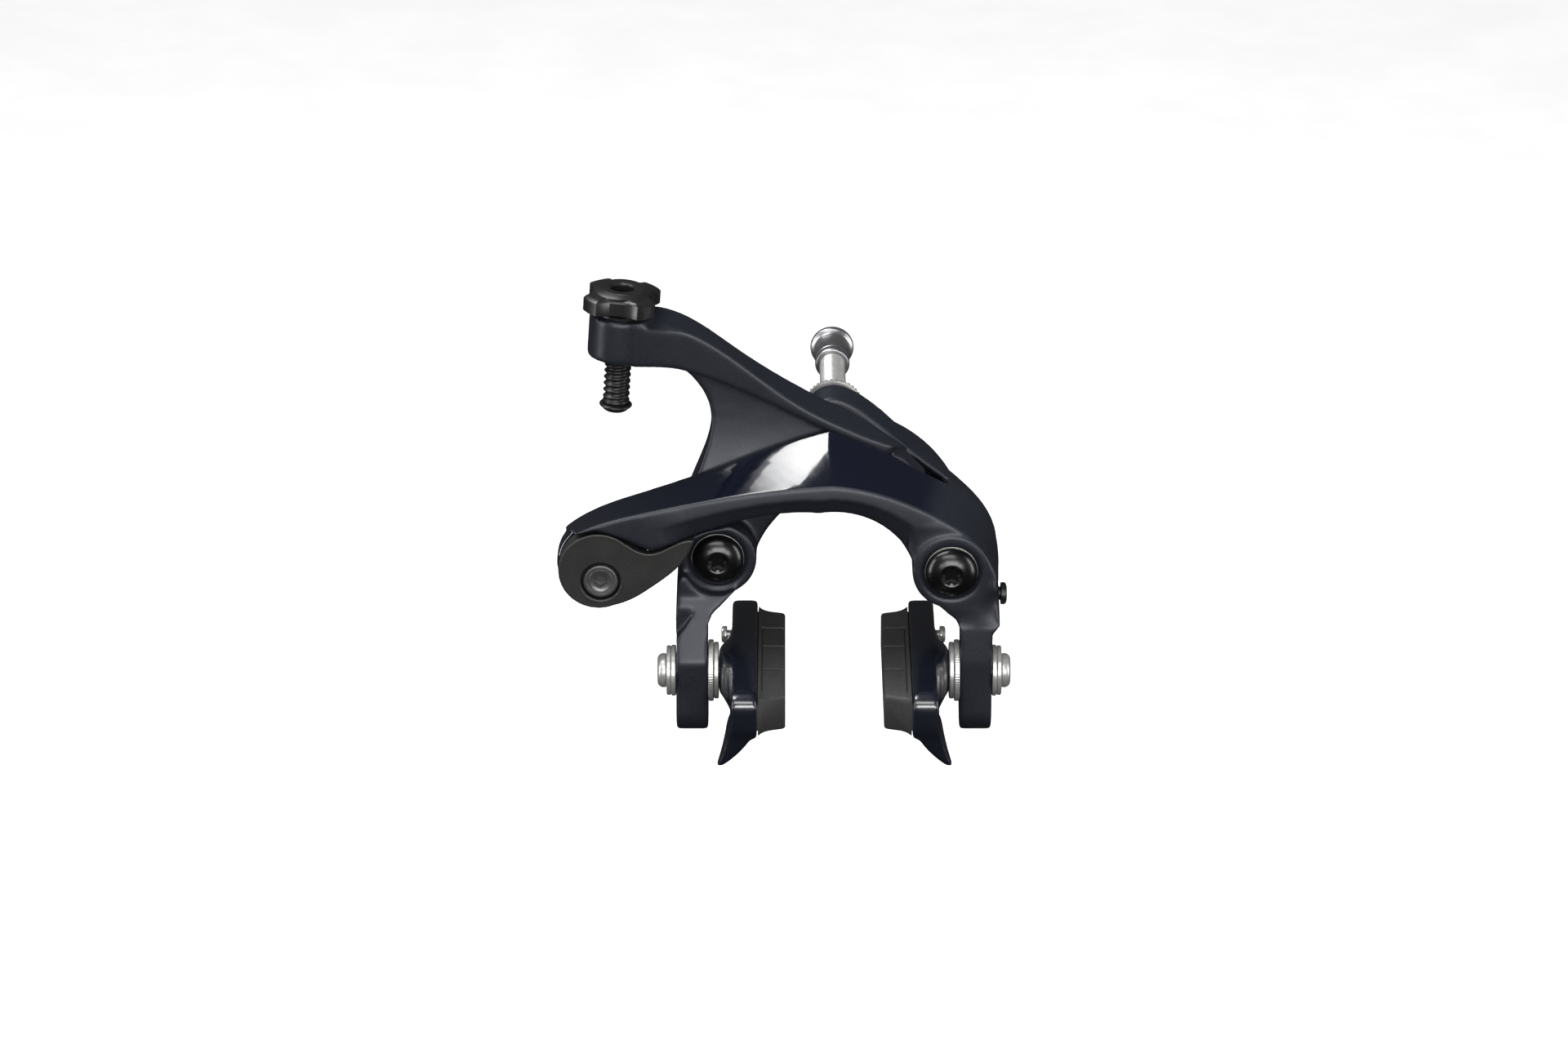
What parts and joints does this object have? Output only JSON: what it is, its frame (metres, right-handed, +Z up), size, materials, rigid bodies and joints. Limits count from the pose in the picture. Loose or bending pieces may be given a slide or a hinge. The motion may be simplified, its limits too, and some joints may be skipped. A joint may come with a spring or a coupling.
{
  "type": "rim brake caliper",
  "caption": "Dual-pivot road rim brake caliper: two sprung arms on a bridge, quick-release cable anchor, barrel adjuster, adjustable shoes and a centre bolt.",
  "frame": {"origin": "on the mounting bolt's axis, on the face of the fork washer that meets the fork", "axes": "+X to the right as seen from the front, +Y back to the fork along the mounting bolt, +Z up"},
  "size_m": [0.1015, 0.1, 0.102],
  "materials": {
    "satin_navy": "satin metallic",
    "gloss_navy": "gloss",
    "lever_grey": "matte metallic",
    "gloss_black": "gloss",
    "black_steel": "satin",
    "dark_steel": "satin",
    "black_plastic": "satin",
    "steel": "satin",
    "spring_steel": "polished wire",
    "chrome": "polished",
    "brass": "satin",
    "nylon": "satin",
    "rubber": "matte"
  },
  "bodies": {
    "bridge": {"bridge_plate": "satin_navy", "fork_bolt": "steel", "fork_washer": "steel", "left_pivot_bolt": "gloss_black", "right_pivot_bolt": "gloss_black", "left_dust_washer": "steel", "right_dust_washer": "steel", "left_thrust_washer": "nylon", "right_thrust_washer": "nylon", "return_spring": "spring_steel"},
    "sleeve_nut": {"sleeve_nut": "chrome"},
    "front_arm": {"front_arm": "satin_navy", "right_pivot_bushes": "brass", "sync_roller_pin": "steel", "lever_friction_washer": "nylon"},
    "sync_roller": {"sync_roller": "steel"},
    "quick_release": {"quick_release_lever": "lever_grey", "lever_retaining_ring": "steel"},
    "anchor_bolt": {"anchor_bolt": "dark_steel"},
    "cable_clamp": {"cable_clamp_plate": "steel", "anchor_nut": "steel"},
    "centring_screw": {"centring_screw": "black_steel"},
    "adjuster_arm": {"adjuster_arm": "satin_navy", "left_pivot_bushes": "brass", "adjuster_insert": "brass", "adjuster_detent_ring": "black_steel"},
    "adjuster_barrel": {"adjuster_barrel": "black_steel", "barrel_retaining_ring": "black_steel"},
    "adjuster_knob": {"adjuster_knob": "black_plastic"},
    "left_shoe_fixing": {"left_shoe_bolt": "steel", "left_outer_serrated_washer": "steel", "left_outer_flat_washer": "steel", "left_inner_serrated_washer": "steel"},
    "left_shoe": {"left_shoe_holder": "gloss_navy", "left_brake_pad": "rubber", "left_pad_screw": "steel", "left_inner_dished_washer": "steel"},
    "right_shoe_fixing": {"right_shoe_bolt": "steel", "right_outer_serrated_washer": "steel", "right_outer_flat_washer": "steel", "right_inner_serrated_washer": "steel"},
    "right_shoe": {"right_shoe_holder": "gloss_navy", "right_brake_pad": "rubber", "right_pad_screw": "steel", "right_inner_dished_washer": "steel"}
  },
  "joints": [
    {"name": "front_arm_pivot", "type": "hinge", "parent": "bridge", "child": "front_arm", "pos_m": [0.026, -0.025, -0.0245], "axis": [0, 1, 0], "range_deg": [-1.5, 7.5], "stiffness_Nm_per_rad": 2},
    {"name": "adjuster_arm_pivot", "type": "hinge", "parent": "bridge", "child": "adjuster_arm", "pos_m": [-0.026, -0.022, -0.0245], "axis": [0, 1, 0], "range_deg": [-7.5, 1.5], "stiffness_Nm_per_rad": 2, "deforming": ["return_spring"]},
    {"name": "quick_release_turn", "type": "hinge", "parent": "front_arm", "child": "quick_release", "pos_m": [-0.0525, -0.033, -0.0246], "axis": [0, 1, 0], "range_deg": [0, 110]},
    {"name": "anchor_bolt_turn", "type": "hinge", "parent": "quick_release", "child": "anchor_bolt", "pos_m": [-0.052, -0.03, -0.0271], "axis": [0, 1, 0], "range_deg": [-540, 360]},
    {"name": "cable_clamp_slide", "type": "slide", "parent": "quick_release", "child": "cable_clamp", "axis": [0, -1, 0], "range_m": [-0.0012, 0.0008]},
    {"name": "sync_roller_spin", "type": "hinge", "parent": "front_arm", "child": "sync_roller", "pos_m": [0.0136, -0.021, -0.0066], "axis": [0, 1, 0], "continuous": true},
    {"name": "centring_screw_turn", "type": "hinge", "parent": "front_arm", "child": "centring_screw", "pos_m": [0.036, -0.03, -0.033], "axis": [1, 0, 0], "range_deg": [-180, 180]},
    {"name": "adjuster_travel", "type": "slide", "parent": "adjuster_arm", "child": "adjuster_barrel", "axis": [0.068, 0, 0.9977], "range_m": [0, 0.007]},
    {"name": "adjuster_turn", "type": "hinge", "parent": "adjuster_barrel", "child": "adjuster_knob", "pos_m": [-0.04698, -0.023, 0.03357], "axis": [0.068, 0, 0.9977], "range_deg": [0, 2520]},
    {"name": "sleeve_nut_unscrew", "type": "slide", "parent": "bridge", "child": "sleeve_nut", "axis": [0, 1, 0], "range_m": [0, 0.045]},
    {"name": "left_shoe_height", "type": "slide", "parent": "adjuster_arm", "child": "left_shoe_fixing", "axis": [0, 0, 1], "range_m": [-0.0045, 0.0045]},
    {"name": "left_shoe_pitch", "type": "hinge", "parent": "left_shoe_fixing", "child": "left_shoe", "pos_m": [-0.024, -0.0343, -0.05], "axis": [1, 0, 0], "range_deg": [-8, 8]},
    {"name": "right_shoe_height", "type": "slide", "parent": "front_arm", "child": "right_shoe_fixing", "axis": [0, 0, 1], "range_m": [-0.0045, 0.0045]},
    {"name": "right_shoe_pitch", "type": "hinge", "parent": "right_shoe_fixing", "child": "right_shoe", "pos_m": [0.024, -0.0343, -0.05], "axis": [1, 0, 0], "range_deg": [-8, 8]}
  ],
  "couplings": [
    {"joint": "adjuster_arm_pivot", "follows": "front_arm_pivot", "ratio": -1},
    {"joint": "adjuster_turn", "follows": "adjuster_travel", "rad_per_m": 6283.2},
    {"joint": "anchor_bolt_turn", "follows": "cable_clamp_slide", "rad_per_m": 7854}
  ]
}
